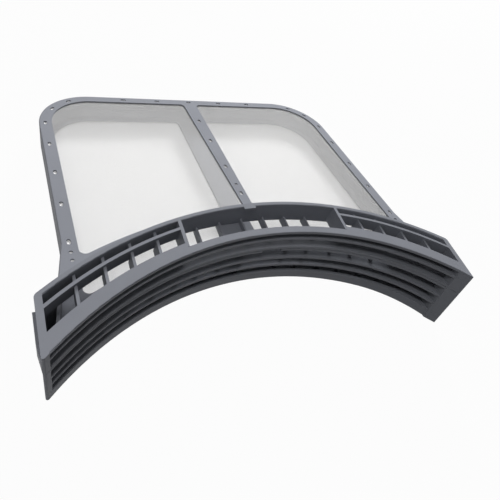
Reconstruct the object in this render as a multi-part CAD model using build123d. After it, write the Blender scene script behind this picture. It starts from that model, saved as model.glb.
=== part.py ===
"""Fold-open lint filter for a tumble dryer: two moulded halves, each with a mesh, hinged at the far edge."""
import os
from math import asin, cos, degrees, radians, sin, sqrt

from build123d import *

# Driving dimensions in millimetres. The arch's axis is vertical, through x = 0 and y = 0 of the working
# frame; +Y runs from the arch to the hinge. The finished parts are moved to the middle of their box.

# Arch: a curved channel with a louvred inner face and a grid on top
face_radius = 229.0
outer_radius = 258.8
arch_half_width = 157.4
arch_height = 60.0
outer_wall = 3.0
end_wall = 4.2
end_bay = 14.1
outer_corner = 4.0
tip_corner = 1.2
parting_height = 39.3
parting_gap = 0.3

# Louvre: the heights of the blades' upper faces
blade_depth = 9.0
blade_thickness = 2.4
upper_blade_top = 52.8
lower_blade_tops = (28.5, 18.8)
bottom_band_height = 9.0
floor_thickness = 2.2
edge_round = 0.6

# Grid on top of the upper half
land_thickness = 2.2
mid_rib_offset = 21.0
mid_rib_thickness = 2.0
mid_rib_depth = 10.0
cells_each_side = 5
recess_half_width = 64.4
cross_wall = 1.8
recess_wall = 2.4
inner_wall_drop = 2.5
outer_wall_drop = 3.5
cross_wall_set_back = 6.0
cross_wall_depth = 15.0
recess_land = 5.7
front_wall = 2.0
front_wall_depth = 14.0
recess_front_depth = 10.0
fin_count = 6
fin_thickness = 1.4
fin_height = 6.6
fin_shift = -2.2
closed_cell = 1
closed_cell_floor = 2.2
rim_tab_from_middle = -8.5
rim_tab_width = 9.4
rim_tab_proud = 1.8
rim_tab_height = 2.6

# Guide ledge on each end of the upper half
guide_proud = 1.6
guide_length = 32.0
guide_top_drop = 6.0
guide_set_back = 2.0
guide_taper = 13.0

# Right end of the louvre: blades and a cheek that lean out of the face towards the foot
lean_start = 100.0
cheek_width = 11.0
cheek_lean = 6.3

# Notch and latch tongue beside the middle of the parting line
notch_from_middle = -0.6
notch_width = 16.2
tongue_clearance = 0.6
tongue_thickness = 2.0
tongue_reach = 6.0
tongue_set_back = 7.0

# Pocket: a flat lid and tray that slope down from the arch to the hinge
lid_drop = 16.1
pocket_slope = 7.4
pocket_half_width = 138.5
pocket_length = 171.5
pocket_corner = 46.0
flare_start = -10.0
flare_reach = 70.0
flare_width = 10.8
plate_thickness = 2.4
skirt_wall = 2.2
lid_depth = 10.5
outer_edge_round = 0.8

# Windows and ribs
side_strip = 9.6
far_strip = 8.4
near_strip = 9.7
window_corner = 4.0
rib_far_width = 13.0
rib_near_width = 7.6
rib_near_shift = 2.5
tray_near_inset = 4.8
tray_back_inset = 12.8
tray_back_wall = 2.0
tray_rib_width = 19.0

# Mesh sheets moulded into the plates, each a plain grid of openings in place of the fine weave
mesh_thickness = 0.5
mesh_margin = 2.5
mesh_cover = 0.8
mesh_clearance = 0.05
mesh_openings_across = 12
mesh_bar = 4.0

# Pin marks through the lid's strips, where the mesh shows
mark_length = 4.6
mark_width = 2.5
side_marks = (127.5, 98.0, 62.5, 27.5, -9.0)
far_mark_pitch = 31.8
far_marks_each_side = 2
corner_mark_angles = (35.0, 62.0)
rib_marks = (134.0, 102.0, 63.5, 28.0)
rib_dot = 39.5
side_dots = (-18.0, -25.0)

# Hinge at the far edge
hinge_offset = 4.0
knuckle_radius = 3.4
pin_radius = 1.6
pin_clearance = 0.1
hinge_spread = 76.0
upper_knuckle = 12.0
lower_knuckle = 8.0
knuckle_gap = 0.4
knuckle_web = 5.0

# Sizes that follow from those above
mid_rib_radius = face_radius + mid_rib_offset
tray_near_radius = outer_radius - tray_near_inset
tray_back_radius = outer_radius - tray_back_inset
upper_floor = parting_height + parting_gap / 2
lower_top = parting_height - parting_gap / 2
slope = radians(pocket_slope)
lid_foot = arch_height - lid_drop
pocket_depth = (lid_foot - pocket_length * sin(slope)) / cos(slope)
lid_floor = -lid_depth + parting_gap / 2
tray_top = -lid_depth - parting_gap / 2
tray_floor = -pocket_depth + plate_thickness
pocket = Plane(origin=(0, outer_radius, lid_foot), x_dir=(1, 0, 0), z_dir=(0, sin(slope), cos(slope)))
cell_pitch = (arch_half_width - end_wall - recess_half_width) / cells_each_side
fin_pitch = 2 * recess_half_width / (fin_count + 1)
land_radius = face_radius + blade_depth
wall_inside = outer_radius - outer_wall
wall_middle = outer_radius - outer_wall / 2
reach = 2 * outer_radius
tip_y = sqrt(face_radius**2 - arch_half_width**2)
hinge_v = pocket_length + hinge_offset
hinge_y = outer_radius + hinge_v * cos(slope) - lid_depth * sin(slope)
cheek_turn = asin(arch_half_width / face_radius)
cheek_foot_y = tip_y - cheek_lean / cos(cheek_turn)
middle_y = (cheek_foot_y + hinge_y + knuckle_radius) / 2


def arch_outline():
    """Plan of the arch: a ring sector cut off square at both ends, with rounded corners."""
    span = Pos(0, reach / 2) * Rectangle(2 * arch_half_width, reach)
    plan = (Circle(outer_radius) - Circle(face_radius)) & span
    plan = fillet(plan.vertices().sort_by(Axis.Y)[2:], outer_corner)
    return fillet(plan.vertices().sort_by(Axis.Y)[:2], tip_corner)


arch_plan = arch_outline()


def curved(inner, outer, x_low, x_high, z_low, z_high):
    """Curved wall between two radii, over a range of x and of height, inside the arch's plan."""
    strip = Pos((x_low + x_high) / 2, reach / 2) * Rectangle(x_high - x_low, reach)
    plan = (Circle(outer) - Circle(inner)) & strip & arch_plan
    return Pos(0, 0, z_low) * extrude(plan, z_high - z_low)


def rounded(wall, radius, size, high=True):
    """Round the top, or the bottom, edges of a curved wall that lie on one radius."""
    level = wall.bounding_box().max.Z if high else wall.bounding_box().min.Z
    edges = [e for e in wall.edges().filter_by(GeomType.CIRCLE) if abs(e.radius - radius) < 0.01]
    return fillet([e for e in edges if abs(e.center().Z - level) < 0.01], size)


def lean_out(z_low, z_high):
    """Right end of a blade or band: it leaves the louvre's face as a tangent and runs to the cheek."""
    lean = cheek_lean * (1 - (z_low + z_high) / 2 / arch_height)
    start = (lean_start, sqrt(face_radius**2 - lean_start**2))
    x = arch_half_width - end_wall
    end = (x, (face_radius - lean - x * sin(cheek_turn)) / cos(cheek_turn))
    back = (x, sqrt(land_radius**2 - x**2))
    edge = TangentArc(start, end, tangent=(start[1], -start[0]))
    plan = make_face([edge, Line(end, back), Line(back, start)])
    return Pos(0, 0, z_low) * extrude(plan, z_high - z_low)


def blade(top):
    """Louvre blade with a rounded front edge."""
    full = arch_half_width
    shape = curved(face_radius, land_radius, -full, full, top - blade_thickness, top)
    shape = rounded(shape, face_radius, edge_round)
    shape = rounded(shape, face_radius, edge_round, high=False)
    return shape + lean_out(top - blade_thickness, top)


def across(x, inner, outer, thickness, z_low, z_high):
    """Straight wall across the channel at one x, between two radii."""
    return curved(inner, outer, x - thickness / 2, x + thickness / 2, z_low, z_high)


def grid_places():
    """The x of each cross wall, both sides of the recess."""
    places = [recess_half_width + cell_pitch * k for k in range(1, cells_each_side)]
    return [-x for x in places] + places


def fin_places():
    """The x of each fin in the recess."""
    return [fin_shift - recess_half_width + fin_pitch * k for k in range(1, fin_count + 1)]


def pocket_solid(inset, depth_low, depth_high):
    """Outline of the pocket in its own sloping frame, inset by a wall, as a solid between two depths."""
    half = pocket_half_width - inset
    far = pocket_length - inset
    flare = half + flare_width
    points = [(-flare, -flare_reach), (flare, -flare_reach), (half, flare_start), (half, far)]
    points = points + [(-half, far), (-half, flare_start)]
    plan = make_face(Polyline(*points, close=True))
    plan = fillet(plan.vertices().sort_by(Axis.Y)[-2:], pocket_corner - inset)
    return Pos(0, 0, depth_low) * extrude(plan, depth_high - depth_low)


def near_disc(radius):
    """A round of the arch's own centre in the sloping frame."""
    return Pos(0, -outer_radius) * Circle(radius)


def window_plan(near, rib_near, rib_far, shift):
    """The two windows between the strips and the rib, whose near end stands to one side by a shift."""
    half = pocket_half_width - side_strip
    top = pocket_length - far_strip
    bottom = -flare_reach
    corner = pocket_corner - side_strip
    area = Pos(0, (top + bottom) / 2) * Rectangle(2 * half, top - bottom)
    area = fillet(area.vertices().sort_by(Axis.Y)[-2:], corner)
    over = top + window_corner
    rib = [(shift - rib_near / 2, 0), (shift - rib_near / 2, bottom), (shift + rib_near / 2, bottom)]
    rib += [(shift + rib_near / 2, 0), (rib_far / 2, over), (-rib_far / 2, over)]
    plan = area - near_disc(near) - make_face(Polyline(*rib, close=True))
    by_rib = [v for v in plan.vertices() if abs(v.X) < rib_far]
    by_side = [v for v in plan.vertices() if abs(v.X) > half - 1 and v.Y < 0]
    return fillet(by_rib + by_side, window_corner)


def mesh_plan(near, grow):
    """Outline of a mesh sheet, grown beyond the windows by a margin."""
    half = pocket_half_width - side_strip + grow
    top = pocket_length - far_strip + grow
    bottom = -flare_reach
    plan = Pos(0, (top + bottom) / 2) * Rectangle(2 * half, top - bottom)
    plan = fillet(plan.vertices().sort_by(Axis.Y)[-2:], pocket_corner - side_strip + grow)
    return plan - near_disc(near - grow)


def mesh_slot(near, level):
    """Room for a mesh sheet inside its plate."""
    plan = mesh_plan(near, mesh_margin + mesh_clearance)
    height = mesh_thickness + 2 * mesh_clearance
    return Pos(0, 0, level - mesh_thickness - mesh_clearance) * extrude(plan, height)


def mesh_sheet(near, level):
    """Mesh sheet that reaches into the strips round the windows, with its grid of openings."""
    pitch = 2 * (pocket_half_width - side_strip) / mesh_openings_across
    side = pitch - mesh_bar
    rows = round((pocket_length + flare_reach) / pitch)
    first = pocket_length - far_strip - pitch / 2
    columns = [(k - (mesh_openings_across - 1) / 2) * pitch for k in range(mesh_openings_across)]
    cells = [Pos(x, first - pitch * k) * Rectangle(side, side) for x in columns for k in range(rows)]
    field = mesh_plan(near, -mesh_bar / 2)
    cells = [cell & field for cell in cells]
    holes = [face for cell in cells if cell for face in cell.faces() if face.area > mesh_bar**2]
    plan = mesh_plan(near, mesh_margin) - holes
    return Pos(0, 0, level - mesh_thickness) * extrude(plan, mesh_thickness)


def rib_middle(v):
    """The x of the lid rib's middle at one place along the slope."""
    return rib_near_shift * (1 - v / (pocket_length - far_strip))


def pin_marks():
    """Slots and dots right through the lid's strips and rib."""
    side_x = pocket_half_width - side_strip / 2
    far_v = pocket_length - far_strip / 2
    slot = SlotOverall(mark_length, mark_width)
    dot = Circle(mark_width / 2)
    marks = [Pos(s * side_x, v) * Rot(0, 0, 90) * slot for s in (-1, 1) for v in side_marks]
    marks += [Pos(rib_middle(v), v) * Rot(0, 0, 90) * slot for v in rib_marks]
    marks += [Pos(s * side_x, v) * dot for s in (-1, 1) for v in side_dots]
    marks.append(Pos(rib_middle(rib_dot), rib_dot) * dot)
    count = far_marks_each_side
    marks += [Pos(k * far_mark_pitch, far_v) * slot for k in range(-count, count + 1)]
    bend = pocket_corner - side_strip / 2
    for s in (-1, 1):
        for angle in corner_mark_angles:
            x = pocket_half_width - pocket_corner + bend * cos(radians(angle))
            v = pocket_length - pocket_corner + bend * sin(radians(angle))
            marks.append(Pos(s * x, v) * Rot(0, 0, s * (angle - 90)) * slot)
    return Pos(0, 0, -plate_thickness) * extrude(Sketch() + marks, 2 * plate_thickness)


def beside_arch(shape, radius):
    """Place a pocket solid in the working frame and trim it where it meets the arch."""
    return pocket.location * shape - Cylinder(radius, reach)


def knuckle(x, length, radius):
    """Hinge barrel or pin along X on the hinge's axis."""
    return Pos(x, hinge_v, -lid_depth) * Rot(0, 90, 0) * Cylinder(radius, length)


def web(x, length, w_low, w_high):
    """Block that ties a knuckle to the far wall of its half."""
    run = hinge_offset + skirt_wall / 2
    return Pos(x, hinge_v - run / 2, (w_low + w_high) / 2) * Box(length, run, w_high - w_low)


def cheek(z_low, z_high):
    """Right end's cheek between two heights: flush with the louvre's face at the top, leaning out below."""
    turn = degrees(cheek_turn)
    points = [(0, arch_height), (end_wall, arch_height), (end_wall, 0), (-cheek_lean, 0)]
    side = make_face(Polyline(*points, close=True))
    block = extrude(Plane.YZ * side, 2 * cheek_width, both=True)
    block = Rot(0, 0, -turn) * Pos(0, face_radius, 0) * block
    run = cheek_width * cos(cheek_turn)
    height = z_high - z_low
    span = Pos(arch_half_width - run / 2, reach / 2, z_low + height / 2) * Box(run, reach, height)
    return block & span


def upper_arch():
    """Rim, grid, louvre and ends of the upper half."""
    full = arch_half_width
    half = recess_half_width
    rim = curved(wall_inside, outer_radius, -full, full, upper_floor, arch_height)
    rim = rounded(rim, wall_inside, edge_round)
    rim -= pocket.location * pocket_solid(skirt_wall, -arch_height, -plate_thickness)
    land_low = arch_height - land_thickness
    recess_radius = face_radius + recess_land
    land = curved(face_radius, land_radius, -full, full, land_low, arch_height)
    land = rounded(land, face_radius, edge_round)
    land -= curved(recess_radius, mid_rib_radius, -half, half, land_low, arch_height)
    upper_blade = blade(upper_blade_top)
    upper_blade -= curved(recess_radius, mid_rib_radius, -half, half, 0, arch_height)
    pieces = [rim, land, upper_blade, blade(upper_floor + blade_thickness), cheek(upper_floor, arch_height)]
    tab_in = wall_inside - rim_tab_proud
    tab_low = arch_height - rim_tab_height
    pieces.append(across(rim_tab_from_middle, tab_in, wall_middle, rim_tab_width, tab_low, arch_height))
    wall_low = arch_height - cross_wall_depth
    wall_start = face_radius + cross_wall_set_back
    rib_in = mid_rib_radius - mid_rib_thickness / 2
    rib_out = mid_rib_radius + mid_rib_thickness / 2
    rib_low = arch_height - mid_rib_depth
    for s in (-1, 1):
        low, high = sorted((s * (full - end_wall), s * full))
        pieces.append(curved(face_radius, outer_radius, low, high, upper_floor, arch_height))
        low, high = sorted((s * half, s * (full - end_wall / 2)))
        pieces.append(curved(rib_in, rib_out, low, high, rib_low, arch_height))
        pieces.append(across(s * half, wall_start, wall_middle, recess_wall, wall_low, arch_height))
        front_low = arch_height - front_wall_depth
        pieces.append(curved(land_radius - front_wall, land_radius, low, high, front_low, arch_height))
        back_y = tip_y + guide_length
        root = full - end_wall / 2
        proud = full + guide_proud
        front_y = tip_y + guide_set_back
        points = [(root, front_y), (full, front_y), (proud, tip_y + guide_taper)]
        points += [(proud, back_y), (root, back_y)]
        guide = extrude(make_face(Polyline(*points, close=True)), arch_height - guide_top_drop - upper_floor)
        guide = Pos(0, 0, upper_floor) * guide
        pieces.append(guide if s > 0 else mirror(guide, Plane.YZ))
    for x in grid_places():
        inner_top = arch_height - inner_wall_drop
        outer_top = arch_height - outer_wall_drop
        pieces.append(across(x, wall_start, mid_rib_radius, cross_wall, wall_low, inner_top))
        pieces.append(across(x, mid_rib_radius, wall_middle, cross_wall, rib_low, outer_top))
    front_in = recess_radius - front_wall
    front_low = arch_height - recess_front_depth
    pieces.append(curved(front_in, recess_radius, -half, half, front_low, arch_height))
    fin_inner = land_radius - front_wall
    for x in fin_places():
        fin_top = upper_floor + fin_height
        pieces.append(across(x, fin_inner, wall_middle, fin_thickness, upper_floor, fin_top))
    low, high = fin_places()[closed_cell:closed_cell + 2]
    cell_top = upper_floor + closed_cell_floor
    pieces.append(curved(fin_inner, wall_middle, low, high, upper_floor, cell_top))
    tongue_in = face_radius + tongue_set_back
    low = notch_from_middle + tongue_clearance
    high = notch_from_middle + notch_width - tongue_clearance
    tongue_top = upper_floor + blade_thickness / 2
    tongue_end = upper_floor - tongue_reach
    pieces.append(curved(tongue_in, tongue_in + tongue_thickness, low, high, tongue_end, tongue_top))
    return Part() + [body for piece in pieces for body in piece.solids()]


def upper_half():
    """Upper half: the arch's top, the lid with its strips and rib, and the hinge's middle knuckles."""
    plate = pocket_solid(0, -plate_thickness, 0)
    top_edges = [e for e in plate.edges() if abs(e.center().Z) < 0.01 and e.center().Y > 1 - flare_reach]
    plate = fillet(top_edges, outer_edge_round)
    windows = window_plan(outer_radius + near_strip, rib_near_width, rib_far_width, rib_near_shift)
    plate -= Pos(0, 0, -plate_thickness) * extrude(windows, plate_thickness)
    plate -= mesh_slot(outer_radius + near_strip, -mesh_cover)
    plate -= pin_marks()
    skirt = pocket_solid(0, lid_floor, -plate_thickness / 2) - pocket_solid(skirt_wall, lid_floor, 0)
    lid = plate + skirt
    for s in (-1, 1):
        x = s * hinge_spread
        lid += knuckle(x, upper_knuckle, knuckle_radius)
        lid += knuckle(x, upper_knuckle + 2 * (knuckle_gap + lower_knuckle), pin_radius)
        lid += web(x, upper_knuckle, lid_floor, lid_floor + knuckle_web)
    shape = upper_arch() + beside_arch(lid, wall_middle)
    below = Pos(0, 0, upper_floor - lid_depth)
    clear = below * Cylinder(outer_radius + parting_gap, 2 * lid_depth)
    return shape - (clear - below * Cylinder(wall_inside, 2 * lid_depth))


def lower_arch():
    """Louvre, floor, ends and back walls of the lower half."""
    full = arch_half_width
    mouth = pocket.location * pocket_solid(skirt_wall, -2 * arch_height, arch_height)
    under_tray = pocket.location * pocket_solid(0, -2 * arch_height, tray_floor - plate_thickness / 2)
    back_out = tray_back_radius + tray_back_wall
    deep = curved(tray_back_radius, outer_radius, -full, full, 0, lower_top)
    floor = curved(face_radius, back_out, -full, full, 0, floor_thickness)
    back = curved(tray_back_radius, back_out, -full, full, 0, lower_top) & under_tray
    cheeks = deep & (pocket.location * pocket_solid(0, -2 * arch_height, tray_top))
    cheeks -= mouth
    band = curved(face_radius, face_radius + blade_thickness, -full, full, 0, bottom_band_height)
    band = rounded(band, face_radius, edge_round) + lean_out(0, bottom_band_height)
    top_blade = blade(lower_top)
    notch_high = notch_from_middle + notch_width
    top_blade -= curved(face_radius, land_radius, notch_from_middle, notch_high, 0, lower_top)
    pieces = [floor, back, cheeks, band, top_blade, cheek(0, lower_top)]
    pieces += [blade(top) for top in lower_blade_tops]
    for s in (-1, 1):
        low, high = sorted((s * (full - end_wall), s * full))
        pieces.append(curved(face_radius, outer_radius, low, high, 0, lower_top))
        low, high = sorted((s * (full - end_bay), s * (full - end_wall / 2)))
        pieces.append(curved(tray_back_radius, outer_radius, low, high, 0, floor_thickness))
        pieces.append(curved(wall_inside, outer_radius, low, high, 0, lower_top))
    post_inner = face_radius + cross_wall_set_back
    notch_middle = notch_from_middle + notch_width / 2
    fins = [x for x in fin_places() if abs(x - notch_middle) > notch_width / 2 + fin_thickness]
    for x in grid_places() + [-recess_half_width, recess_half_width] + fins:
        pieces.append(across(x, post_inner, land_radius, cross_wall, 0, lower_top))
    return Part() + [body for piece in pieces for body in piece.solids()]


def lower_half():
    """Lower half: the arch's lower part, the tray and the hinge's outer knuckles."""
    plate = pocket_solid(0, -pocket_depth, tray_floor)
    windows = window_plan(tray_near_radius, tray_rib_width, tray_rib_width, 0)
    plate -= Pos(0, 0, -pocket_depth) * extrude(windows, plate_thickness)
    plate -= mesh_slot(tray_near_radius, tray_floor - mesh_cover)
    skirt = pocket_solid(0, tray_floor - plate_thickness / 2, tray_top)
    skirt -= pocket_solid(skirt_wall, -pocket_depth, tray_top)
    tray = plate + skirt
    for s in (-1, 1):
        for t in (-1, 1):
            x = s * hinge_spread + t * (upper_knuckle / 2 + knuckle_gap + lower_knuckle / 2)
            tray += knuckle(x, lower_knuckle, knuckle_radius)
            tray += web(x, lower_knuckle, tray_top - knuckle_web, tray_top)
            tray -= knuckle(x, lower_knuckle + knuckle_gap, pin_radius + pin_clearance)
    above = Pos(0, 0, lower_top + arch_height / 2) * Box(2 * reach, 2 * reach, arch_height)
    return lower_arch() + beside_arch(tray, tray_back_radius + tray_back_wall / 2) - above


def upper_mesh():
    """Mesh sheet of the lid."""
    return pocket.location * mesh_sheet(outer_radius + near_strip, -mesh_cover)


def lower_mesh():
    """Mesh sheet of the tray."""
    return pocket.location * mesh_sheet(tray_near_radius, tray_floor - mesh_cover)


os.makedirs("parts", exist_ok=True)
nodes = {
    "upper_frame": upper_half(),
    "lower_frame": lower_half(),
    "upper_mesh": upper_mesh(),
    "lower_mesh": lower_mesh(),
}
for name, shape in nodes.items():
    export_step(Pos(0, -middle_y, 0) * shape, f"parts/{name}.step")
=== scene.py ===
import math

import bmesh
import bpy
from mathutils import Matrix, Vector


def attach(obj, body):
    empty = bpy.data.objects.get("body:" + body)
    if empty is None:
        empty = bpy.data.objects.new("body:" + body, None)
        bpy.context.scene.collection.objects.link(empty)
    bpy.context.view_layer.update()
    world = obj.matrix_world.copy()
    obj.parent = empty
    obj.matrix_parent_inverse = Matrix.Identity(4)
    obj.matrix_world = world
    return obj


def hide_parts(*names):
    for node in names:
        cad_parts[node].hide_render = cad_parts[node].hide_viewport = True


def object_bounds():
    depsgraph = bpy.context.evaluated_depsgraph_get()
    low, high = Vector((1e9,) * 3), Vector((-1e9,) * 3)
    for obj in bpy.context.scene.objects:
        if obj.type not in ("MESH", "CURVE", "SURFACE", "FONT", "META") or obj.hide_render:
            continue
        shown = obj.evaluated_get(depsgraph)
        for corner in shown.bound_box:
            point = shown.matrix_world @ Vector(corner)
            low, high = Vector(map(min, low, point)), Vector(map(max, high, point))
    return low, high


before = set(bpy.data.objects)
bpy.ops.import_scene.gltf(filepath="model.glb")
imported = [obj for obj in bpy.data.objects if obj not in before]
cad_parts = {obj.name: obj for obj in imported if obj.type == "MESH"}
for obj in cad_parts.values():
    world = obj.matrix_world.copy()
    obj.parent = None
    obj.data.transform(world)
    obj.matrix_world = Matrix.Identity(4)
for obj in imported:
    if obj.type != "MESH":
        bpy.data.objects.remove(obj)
cadLow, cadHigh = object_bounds()
print("frame loaded:", ", ".join(sorted(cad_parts)))


class Wire:  # a socket that takes part in sums
    def __init__(self, tree, socket):
        self.tree = tree
        self.socket = socket

    def sum(self, operation, first, second):
        node = self.tree.nodes.new("ShaderNodeMath")
        node.operation = operation
        for place, value in enumerate((first, second)):
            plug(self.tree, node.inputs[place], value)
        return Wire(self.tree, node.outputs[0])

    def __add__(self, other):
        return self.sum("ADD", self, other)

    def __radd__(self, other):
        return self.sum("ADD", other, self)

    def __mul__(self, other):
        return self.sum("MULTIPLY", self, other)

    def __rmul__(self, other):
        return self.sum("MULTIPLY", other, self)


def plug(tree, socket, value):  # link a wire, or set a plain value
    if isinstance(value, Wire):
        tree.links.new(value.socket, socket)
    else:
        socket.default_value = value


class Finish:  # one material or world, built node by node
    def __init__(self, owner):
        self.owner = owner
        owner.use_nodes = True
        self.tree = owner.node_tree
        self.tree.nodes.clear()

    def make(self, kind, settings=None, sockets=None, output=0):
        node = self.tree.nodes.new("ShaderNode" + kind)
        for name, value in (settings or {}).items():
            setattr(node, name, value)
        for name, value in (sockets or {}).items():
            plug(self.tree, node.inputs[name], value)
        return Wire(self.tree, node.outputs[output]) if node.outputs else None

    def noise(self, place, scale, detail=2.0, roughness=0.5):
        sockets = {"Vector": place, "Scale": scale, "Detail": detail, "Roughness": roughness}
        return self.make("TexNoise", {"noise_dimensions": "3D"}, sockets)

    def blend(self, factor, first, second):  # a Mix node's colours are its sockets 6 and 7, and its output 2
        return self.make("Mix", {"data_type": "RGBA"}, {0: factor, 6: first, 7: second}, output=2)

    def show(self, shader, target="OutputMaterial"):
        self.make(target, None, {"Surface": shader})
        return self.owner


# Moulded slate-grey plastic

plasticLook = {
    "deep": (0.142, 0.149, 0.169, 1.0),
    "pale": (0.213, 0.222, 0.250, 1.0),
    "cloudScale": 26.0,
    "cloudDetail": 4.0,
    "cloudRoughness": 0.6,
    "cloudShare": 0.75,  # the grain has the rest
    "grainScale": 2600.0,
    "grainDetail": 2.0,
    "grainRoughness": 0.55,
    "grainHeight": 0.00006,
    "grainStrength": 0.35,
    "roughLow": 0.54,
    "roughSpan": 0.16,
    "bending": 1.5,  # index of refraction
    "sheen": 0.4,
}


def mouldedPlastic(look):
    finish = Finish(bpy.data.materials.new("slatePlastic"))
    place = finish.make("TexCoord", output="Object")
    cloud = finish.noise(place, look["cloudScale"], look["cloudDetail"], look["cloudRoughness"])
    grain = finish.noise(place, look["grainScale"], look["grainDetail"], look["grainRoughness"])
    tone = cloud * look["cloudShare"] + grain * (1.0 - look["cloudShare"])
    colour = finish.blend(tone, look["deep"], look["pale"])
    rough = look["roughLow"] + tone * look["roughSpan"]
    bumps = finish.make("Bump", None, {"Strength": look["grainStrength"],
                                       "Distance": look["grainHeight"], "Height": grain})
    shader = finish.make("BsdfPrincipled", None, {"Base Color": colour, "Roughness": rough,
                                                  "Normal": bumps, "IOR": look["bending"],
                                                  "Specular IOR Level": look["sheen"]})
    return finish.show(shader)


def dress(node, material):
    node.data.materials.clear()
    node.data.materials.append(material)


slatePlastic = mouldedPlastic(plasticLook)
for name in ("upper_frame", "lower_frame"):
    dress(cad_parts[name], slatePlastic)
print("frames dressed in moulded plastic")


# White mesh: straight threads in two layers, cut to the sheet that the frame holds

meshLook = {
    "sheets": {
        "upper_mesh": {"pitch": 0.00025, "threadShare": 0.29, "cover": 0.4},
        "lower_mesh": {"pitch": 0.00033, "threadShare": 0.45, "cover": 1.0},
    },
    "flatness": 0.27,
    "white": (0.90, 0.897, 0.892, 1.0),
    "shade": (0.80, 0.798, 0.795, 1.0),
    "streakScale": 900.0,
    "rough": 0.5,
    "roughSpan": 0.1,
}
joinDistance = 1e-6  # corners this near are one
facingUp = 0.5  # least upward part of a face's normal
sameWay = 0.999  # least cosine between normals that count as one direction


def meshThread(name, look):
    finish = Finish(bpy.data.materials.new(name + "_thread"))
    place = finish.make("TexCoord", output="Object")
    streak = finish.noise(place, look["streakScale"])
    colour = finish.blend(streak, look["shade"], look["white"])
    rough = look["rough"] + streak * look["roughSpan"]
    shader = finish.make("BsdfPrincipled", None, {"Base Color": colour, "Roughness": rough,
                                                  "Alpha": look["sheets"][name]["cover"]})
    return finish.show(shader)


def sheetPlane(mesh):  # up-facing normal of the sheet, and the height of its middle along it
    normal = Vector((0, 0, 0))
    for face in mesh.polygons:
        if face.normal.z > facingUp:
            normal += face.normal * face.area
    normal.normalize()
    heights = [normal.dot(vertex.co) for vertex in mesh.vertices]
    return normal, (min(heights) + max(heights)) / 2


def flatLoops(mesh, normal):  # rims of the faces that face one way, each a list of pairs of points
    flat = bmesh.new()
    flat.from_mesh(mesh)
    bmesh.ops.remove_doubles(flat, verts=flat.verts, dist=joinDistance)
    upper = {face for face in flat.faces if face.normal.dot(normal) > sameWay}
    loose = dict.fromkeys(edge for edge in flat.edges if len(upper.intersection(edge.link_faces)) == 1)
    loops = []
    while loose:  # a dictionary keeps its order, so each run finds the same loops
        loop = [loose.popitem()[0]]
        for edge in loop:  # grows as neighbours are found
            for beside in (*edge.verts[0].link_edges, *edge.verts[1].link_edges):
                if beside in loose:
                    del loose[beside]
                    loop.append(beside)
        loops.append([[vertex.co.copy() for vertex in edge.verts] for edge in loop])
    flat.free()
    return loops


def loopLength(loop):
    return sum((end - start).length for start, end in loop)


def sheetRim(mesh, normal, along):  # outer rim of the sheet's upper face, as pairs of flat points
    longest = max(flatLoops(mesh, normal), key=loopLength)
    return [[(point.x, along.dot(point)) for point in edge] for edge in longest]


def crossings(rim, axis, level):  # where the rim crosses one thread's line
    found = []
    for start, end in rim:
        if (start[axis] > level) != (end[axis] > level):
            share = (level - start[axis]) / (end[axis] - start[axis])
            found.append(start[1 - axis] + share * (end[1 - axis] - start[1 - axis]))
    return sorted(found)


def weaveSheet(name, look):
    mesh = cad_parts[name].data
    normal, middle = sheetPlane(mesh)
    across = Vector((1, 0, 0))
    along = normal.cross(across)
    rim = sheetRim(mesh, normal, along)
    spans = [[point[axis] for edge in rim for point in edge] for axis in (0, 1)]
    turn = Matrix((across, along, normal)).transposed().to_4x4()
    pitch = look["sheets"][name]["pitch"]
    thread = pitch * look["sheets"][name]["threadShare"]
    height = thread * look["flatness"]
    weave = bmesh.new()
    area = 0.0
    for axis in (0, 1):
        low, high = min(spans[axis]), max(spans[axis])
        count = int((high - low) / pitch)
        first = (low + high - (count - 1) * pitch) / 2
        lift = middle + (0.5 - axis) * height  # one layer half a thread above the middle, one below
        for index in range(count):
            level = first + index * pitch
            ends = crossings(rim, axis, level)
            for start, end in zip(ends[::2], ends[1::2]):
                area += (end - start) * pitch / 2
                size = [thread, thread, height]
                size[1 - axis] = end - start
                centre = [0, 0, lift]
                centre[axis] = level
                centre[1 - axis] = (start + end) / 2
                shape = turn @ Matrix.Translation(centre) @ Matrix.Diagonal((*size, 1))
                bmesh.ops.create_cube(weave, size=1, matrix=shape)
    woven = bpy.data.meshes.new(name + "_threads")
    weave.to_mesh(woven)
    weave.free()
    woven.materials.append(meshThread(name, look))
    piece = bpy.data.objects.new(name + "_threads", woven)
    bpy.context.scene.collection.objects.link(piece)
    flat = [max(span) - min(span) for span in spans]
    return piece, flat, area


# Mesh that shows in the lid's pin marks, at the level of the lid's sheet

pinLook = {
    "shortest": 0.006,  # a pin mark's rim is between these two lengths
    "longest": 0.014,
    "thickness": 0.0003,
}


def pinMesh(look):
    normal, middle = sheetPlane(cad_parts["upper_mesh"].data)
    patch = bmesh.new()
    for loop in flatLoops(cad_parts["upper_frame"].data, normal):
        if look["shortest"] < loopLength(loop) < look["longest"]:
            for edge in loop:
                ends = [point + normal * (middle - normal.dot(point)) for point in edge]
                patch.edges.new([patch.verts.new(end) for end in ends])
    bmesh.ops.remove_doubles(patch, verts=patch.verts, dist=joinDistance)
    bmesh.ops.edgeloop_fill(patch, edges=patch.edges)
    patch.normal_update()
    bmesh.ops.reverse_faces(patch, faces=[face for face in patch.faces if face.normal.dot(normal) < 0])
    bmesh.ops.solidify(patch, geom=patch.faces, thickness=look["thickness"])
    mesh = bpy.data.meshes.new("upper_mesh_at_pins")
    patch.to_mesh(mesh)
    patch.free()
    mesh.materials.append(meshThread("lower_mesh", meshLook))  # the lower sheet's threads, which are opaque
    piece = bpy.data.objects.new("upper_mesh_at_pins", mesh)
    bpy.context.scene.collection.objects.link(piece)
    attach(piece, "upper_half")
    print(piece.name, "filled:", len(mesh.polygons), "faces")
    return piece


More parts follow.
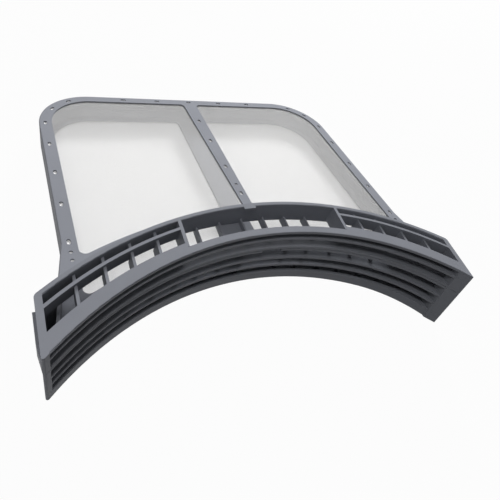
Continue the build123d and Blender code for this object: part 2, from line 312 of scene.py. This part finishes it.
sheets = (("upper_mesh", "upper_half", "upper_frame", [pinMesh(pinLook)]),
          ("lower_mesh", "lower_half", "lower_frame", []))
for name, body, holder, extra in sheets:
    piece, flat, area = weaveSheet(name, meshLook)
    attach(piece, body)
    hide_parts(name)
    print(piece.name, "woven:", len(piece.data.polygons), "faces")


# Studio: pale floor and sky, a low key behind on the right for the shadows, a wide lamp behind for the sheen
# and a small one high in front for the edges of the blades

studio = {
    "floorSize": 8.0,
    "floorDrop": 0.0002,
    "floorColour": (0.22, 0.22, 0.22, 1.0),
    "floorWhite": 0.97,
    "skyColour": (1.0, 1.0, 1.0, 1.0),
    "skyStrength": 0.10,
    "lamps": {
        "keyLamp": {"toward": (16.2, 31.0, 13.8), "distance": 1.5, "size": 0.42,
                    "power": 44.0, "glare": False},
        "topLamp": {"toward": (2.5, 8.0, 8.5), "distance": 1.6, "size": 0.9,
                    "power": 4.5, "glare": True},
        "frontLamp": {"toward": (-4.0, -3.0, 10.0), "distance": 0.8, "size": 0.22,
                      "power": 1.8, "glare": True},
    },
}


def lookedAt(finish):  # one for rays that show the background, straight, mirrored or through a clear thing
    paths = [finish.make("LightPath", output=name) for name in
             ("Is Camera Ray", "Is Glossy Ray", "Is Transmission Ray")]
    return paths[0] + paths[1] + paths[2]


def paleFloor(look):
    grid = bmesh.new()
    bmesh.ops.create_grid(grid, x_segments=2, y_segments=2, size=look["floorSize"] / 2)
    mesh = bpy.data.meshes.new("floor")
    grid.to_mesh(mesh)
    grid.free()
    finish = Finish(bpy.data.materials.new("paleFloor"))
    seen = lookedAt(finish)
    plain = finish.make("BsdfDiffuse", None, {"Color": look["floorColour"]})
    white = finish.make("Emission", None, {"Color": look["skyColour"], "Strength": 1.0})
    node = finish.make("MixShader", None, {0: seen * look["floorWhite"], 1: plain, 2: white})
    mesh.materials.append(finish.show(node))
    floor = bpy.data.objects.new("floor", mesh)
    floor.location.z = cadLow.z - look["floorDrop"]
    bpy.context.scene.collection.objects.link(floor)


def whiteSky(look):
    world = bpy.data.worlds.new("whiteSky")
    finish = Finish(world)
    seen = lookedAt(finish)
    strength = look["skyStrength"] + seen * (1.0 - look["skyStrength"])
    shader = finish.make("Background", None, {"Color": look["skyColour"], "Strength": strength})
    bpy.context.scene.world = finish.show(shader, "OutputWorld")


def softLamp(name, look):
    lamp = bpy.data.lights.new(name, "AREA")
    lamp.shape = "DISK"
    lamp.size = look["size"]
    lamp.energy = look["power"]
    holder = bpy.data.objects.new(name, lamp)
    direction = Vector(look["toward"]).normalized()
    middle = (cadLow + cadHigh) / 2
    holder.location = middle + direction * look["distance"]
    holder.rotation_euler = direction.to_track_quat("Z", "Y").to_euler()
    holder.visible_glossy = look["glare"]
    bpy.context.scene.collection.objects.link(holder)


paleFloor(studio)
whiteSky(studio)
for name, lampLook in studio["lamps"].items():
    softLamp(name, lampLook)
print("studio lit")


# Camera at the photograph's place, in metres and degrees, with its lens in millimetres

viewPoint = {
    "place": (-0.1574, -0.2312, 0.2910),
    "heading": 41.45,
    "dip": 48.63,
    "roll": 26.73,
    "lens": 32.65,
    "sensor": 36.0,
    "nearest": 0.01,
}


def photoCamera(view):
    heading, dip, roll = (math.radians(view[key]) for key in ("heading", "dip", "roll"))
    ahead = Vector((math.cos(dip) * math.sin(heading), math.cos(dip) * math.cos(heading), -math.sin(dip)))
    level = ahead.cross(Vector((0, 0, 1))).normalized()
    above = level.cross(ahead)
    right = level * math.cos(roll) + above * math.sin(roll)
    up = right.cross(ahead)
    turn = Matrix((right, up, -ahead)).transposed().to_4x4()
    camera = bpy.data.cameras.new("photoCamera")
    camera.lens = view["lens"]
    camera.sensor_width = view["sensor"]
    camera.clip_start = view["nearest"]
    holder = bpy.data.objects.new("photoCamera", camera)
    holder.matrix_world = Matrix.Translation(view["place"]) @ turn
    bpy.context.scene.collection.objects.link(holder)
    bpy.context.scene.camera = holder


photoCamera(viewPoint)
bpy.context.scene.view_settings.view_transform = "Standard"
print("camera placed")
